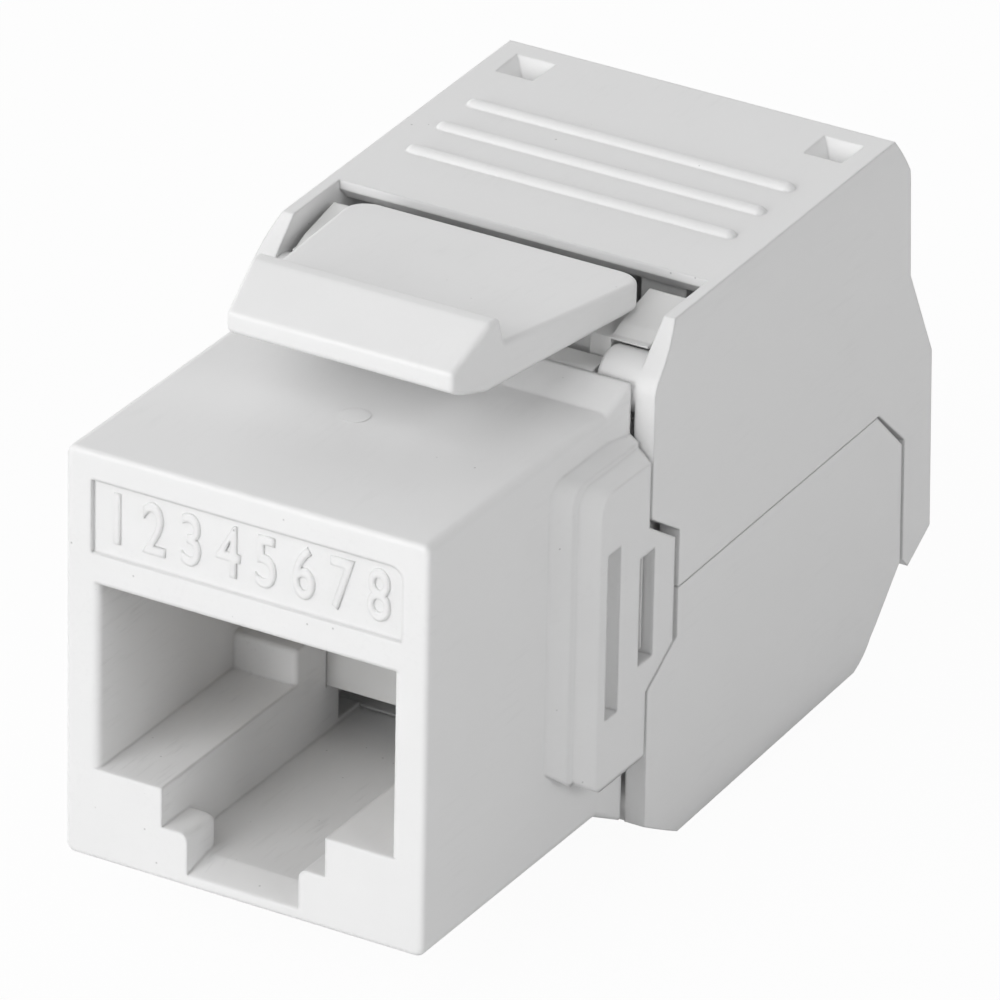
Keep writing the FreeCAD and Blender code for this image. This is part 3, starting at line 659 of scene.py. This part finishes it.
# ---------------------------------------------------------------- sub-assemblies
@dataclass
class FrontHousing:
    """Front housing with its plug port, and the numerals in its label recess."""

    numeral_height: float = 2.0 * MM
    numeral_pitch: float = 1.42 * MM
    numeral_relief: float = 0.1 * MM
    numeral_round: float = 0.05 * MM
    cap_share: float = 0.73          # a digit's height over the size of its font
    digit_share: float = 0.55        # a digit's width over its height
    round_steps: int = 3
    count: int = 8
    recess_level: float = 13.4 * MM
    recess_depth: float = 0.15 * MM

    def build(self, finishes: FinishBook) -> list[str]:
        """Dresses the housing and adds the numerals.

        Args:
            finishes: the finishes.

        Returns:
            Names of the pieces.
        """
        numerals = self.numerals()
        finishes.dress(numerals, FinishKind.HOUSING)
        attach(numerals, "jack_body")
        return finishes.dress_nodes(["front_housing"], FinishKind.HOUSING) + [numerals.name]

    def numerals(self) -> Object:
        """Raises the contact numbers 1 to 8 in the label recess.

        Returns:
            One mesh object with all the numerals.
        """
        text = bpy.data.curves.new("numeral_text", "FONT")
        text.body = " ".join(str(number + 1) for number in range(self.count))
        text.align_x, text.align_y = "CENTER", "CENTER"
        text.size = self.numeral_height / self.cap_share
        text.extrude = self.numeral_relief / 2
        text.bevel_depth = self.numeral_round
        text.bevel_resolution = self.round_steps
        maker = bpy.data.objects.new("numeral_maker", text)
        mesh = bpy.data.meshes.new_from_object(maker)
        width = max(v.co.x for v in mesh.vertices) - min(v.co.x for v in mesh.vertices)
        wanted = self.numeral_pitch * (self.count - 1) + self.digit_share * self.numeral_height
        face = housing_foot() + Vector((0.0, self.recess_depth, self.recess_level))
        turn = Matrix.Rotation(math.radians(90), 4, "X")
        widen = Matrix.Diagonal((wanted / width, 1.0, 1.0, 1.0))
        mesh.transform(Matrix.Translation(face) @ turn @ widen)
        bpy.data.objects.remove(maker)
        bpy.data.curves.remove(text)
        piece = bpy.data.objects.new("contact_numerals", mesh)
        bpy.context.scene.collection.objects.link(piece)
        return piece


@dataclass
class ReleaseLatch:
    """Flexing latch on top."""

    def build(self, finishes: FinishBook) -> list[str]:
        """Dresses the latch and returns its name."""
        return finishes.dress_nodes(["release_latch"], FinishKind.LATCH)


@dataclass
class TerminalCovers:
    """The two hinged covers behind the housing."""

    def build(self, finishes: FinishBook) -> list[str]:
        """Dresses both covers and returns their names."""
        return finishes.dress_nodes(["upper_cover", "lower_cover"], FinishKind.COVER)


@dataclass
class TerminalBlock:
    """Block with guide posts, and the insulation-displacement forks in it."""

    forks: int = 8

    def build(self, finishes: FinishBook) -> list[str]:
        """Dresses the block and its forks.

        Args:
            finishes: the finishes.

        Returns:
            Names of the pieces.
        """
        forks = [f"idc_terminal_{number + 1}" for number in range(self.forks)]
        names = finishes.dress_nodes(["terminal_block"], FinishKind.BLOCK)
        return names + finishes.dress_nodes(forks, FinishKind.FORK)


@dataclass
class ContactSet:
    """Spring contacts in the plug port with their carrier and circuit board."""

    contacts: int = 8

    def build(self, finishes: FinishBook) -> list[str]:
        """Dresses the carrier, the board and the contacts.

        Args:
            finishes: the finishes.

        Returns:
            Names of the pieces.
        """
        contacts = [f"contact_{number + 1}" for number in range(self.contacts)]
        names = finishes.dress_nodes(["contact_carrier"], FinishKind.CARRIER)
        names += finishes.dress_nodes(["circuit_board"], FinishKind.BOARD)
        return names + finishes.dress_nodes(contacts, FinishKind.SPRING)


# ---------------------------------------------------------------- studio
@dataclass(frozen=True)
class Softbox:
    """A square area light that looks at the jack; its place and side are in metres."""

    name: str
    place: tuple[float, float, float]
    watts: float
    side: float = 0.5

    def build(self, target: Vector) -> None:
        """Adds the light.

        Args:
            target: the point that it faces.
        """
        data = bpy.data.lights.new(self.name, "AREA")
        data.shape = "SQUARE"
        data.size = self.side
        data.energy = self.watts
        light = bpy.data.objects.new(self.name, data)
        light.location = Vector(self.place)
        light.rotation_euler = (target - light.location).to_track_quat("-Z", "Y").to_euler()
        bpy.context.scene.collection.objects.link(light)


@dataclass
class Studio:
    """Floor, light and camera."""

    softboxes: tuple[Softbox, ...] = (
        Softbox("front_softbox", (-0.22, -0.75, 0.3), 3.75),
        Softbox("right_softbox", (0.8, -0.2, 0.4), 2.4),
        Softbox("high_softbox", (-0.1, -0.5, 0.7), 1.1),
        Softbox("fill_softbox", (0.45, -0.75, 0.5), 0.6),
    )
    floor_side: float = 3.0
    floor_shade: float = 0.8
    floor_glow: float = 0.955        # how white the floor is to the camera alone
    glow_left: float = 1.58          # strengths of the soft light from three sides
    glow_rear: float = 1.1
    glow_top: float = 0.09
    lens: float = 423.63             # millimetres, as the sensor
    sensor: float = 36.0
    nearest: float = 0.01
    farthest: float = 10.0
    # camera: from the middle of the housing's lower front edge, and its own axes
    eye: tuple[float, float, float] = (185.1 * MM, -303.63 * MM, 198.37 * MM)
    right: tuple[float, float, float] = (0.8615, 0.5075, 0.0178)
    up: tuple[float, float, float] = (-0.2455, 0.3854, 0.8895)

    def build(self) -> None:
        """Adds everything and sets the colour view."""
        low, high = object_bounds()
        target = (low + high) / 2
        for softbox in self.softboxes:
            softbox.build(target)
        self.floor()
        self.world()
        self.camera()
        bpy.context.scene.view_settings.view_transform = "Standard"

    def floor(self) -> None:
        """Adds a pale floor that looks nearly white and keeps the jack's shadow."""
        half = self.floor_side / 2
        mesh = bpy.data.meshes.new("floor")
        corners = [(-half, -half, 0.0), (half, -half, 0.0), (half, half, 0.0), (-half, half, 0.0)]
        mesh.from_pydata(corners, [], [range(len(corners))])
        floor = bpy.data.objects.new("floor", mesh)
        bpy.context.scene.collection.objects.link(floor)
        material, graph = empty_material("floor_paper")
        paper = graph.add("ShaderNodeBsdfDiffuse")
        paper.inputs["Color"].default_value = shaded(WHITE, self.floor_shade)
        glow = graph.add("ShaderNodeEmission")
        rays = graph.add("ShaderNodeLightPath")
        blend = graph.add("ShaderNodeMixShader")
        seen = graph.math("MULTIPLY", rays.outputs["Is Camera Ray"], self.floor_glow)
        graph.link(seen, blend.inputs[0])
        graph.link(paper.outputs[0], blend.inputs[1])
        graph.link(glow.outputs[0], blend.inputs[2])
        output = graph.add("ShaderNodeOutputMaterial")
        graph.link(blend.outputs[0], output.inputs["Surface"])
        mesh.materials.append(material)
        floor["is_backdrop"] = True

    def world(self) -> None:
        """Lights softly from the left, the rear and above, and shows white behind the floor's edge."""
        world = bpy.data.worlds.new("studio_air")
        world.use_nodes = True
        graph = Graph(world.node_tree)
        sky = world.node_tree.nodes["Background"]
        sky.inputs["Color"].default_value = shaded(WHITE)
        axes = graph.add("ShaderNodeSeparateXYZ")
        graph.link(graph.add("ShaderNodeTexCoord").outputs["Generated"], axes.inputs[0])
        total = 0.0
        glows = (("X", -1.0, self.glow_left), ("Y", 1.0, self.glow_rear), ("Z", 1.0, self.glow_top))
        for axis, sign, strength in glows:
            facing = graph.math("MAXIMUM", graph.math("MULTIPLY", axes.outputs[axis], sign), 0.0)
            lobe = graph.math("MULTIPLY", graph.math("MULTIPLY", facing, facing), strength)
            total = graph.math("ADD", lobe, total)
        rays = graph.add("ShaderNodeLightPath")
        graph.link(graph.math("MAXIMUM", total, rays.outputs["Is Camera Ray"]), sky.inputs["Strength"])
        bpy.context.scene.world = world

    def camera(self) -> None:
        """Places the camera from its own axes."""
        right, up = Vector(self.right).normalized(), Vector(self.up)
        up = (up - right * up.dot(right)).normalized()
        back = right.cross(up)
        place = Matrix((right, up, back)).transposed().to_4x4()
        place.translation = housing_foot() + Vector(self.eye)
        data = bpy.data.cameras.new("camera")
        data.sensor_width = self.sensor
        data.lens = self.lens
        data.clip_start, data.clip_end = self.nearest, self.farthest
        camera = bpy.data.objects.new("camera", data)
        camera.matrix_world = place
        bpy.context.scene.collection.objects.link(camera)
        bpy.context.scene.camera = camera


def main() -> None:
    """Builds the sub-assemblies in order, then the studio."""
    logging.basicConfig(level=logging.INFO, format="%(name)s: %(message)s")
    finishes = FinishBook()
    for part in (FrontHousing(), ReleaseLatch(), TerminalCovers(), TerminalBlock(), ContactSet()):
        for name in part.build(finishes):
            LOG.info("%s: %s", type(part).__name__, name)
    Studio().build()


if __name__ == "__main__":
    main()
